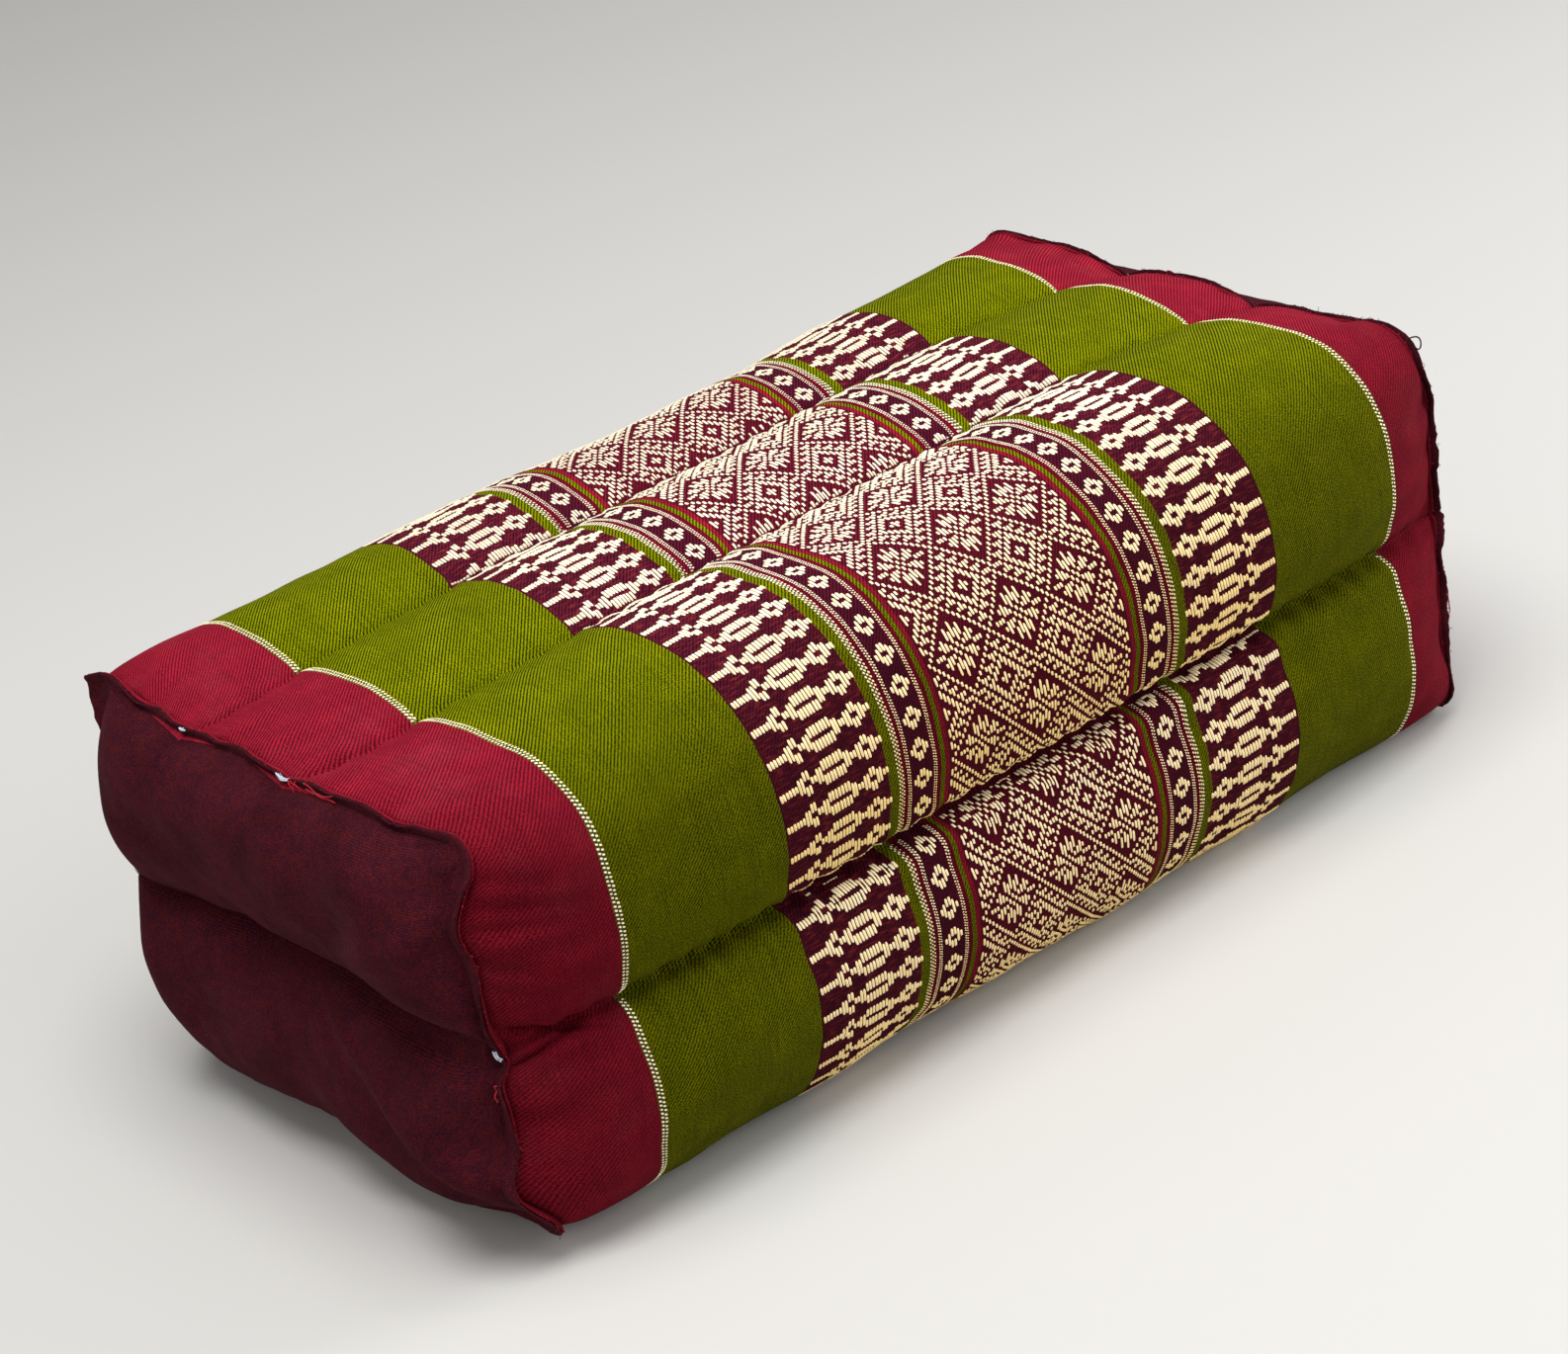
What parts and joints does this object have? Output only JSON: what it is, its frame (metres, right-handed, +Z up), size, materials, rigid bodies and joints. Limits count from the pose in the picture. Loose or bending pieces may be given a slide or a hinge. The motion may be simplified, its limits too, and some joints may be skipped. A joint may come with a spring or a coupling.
{
  "type": "thai block cushion",
  "caption": "Rectangular floor and neck cushion: a band-woven wrap filled with kapok in sewn lengthwise channels, closed by plain dark end panels with turned-out sewn lips.",
  "frame": {"origin": "under the middle of the cushion, on the surface that it lies on", "axes": "+X along the cushion, -Y to its front long side, +Z up"},
  "size_m": [0.3782, 0.213, 0.139],
  "materials": {
    "woven_wrap": "firm cotton cloth woven in crosswise bands of crimson, olive green and dark maroon with raised cream yarn motifs",
    "end_cloth": "plain matt cotton cloth, dark aubergine, with a fine napped weave"
  },
  "bodies": {
    "root": {"cushion_body": "woven_wrap", "end_panel_left": "end_cloth", "end_panel_right": "end_cloth"}
  },
  "joints": []
}
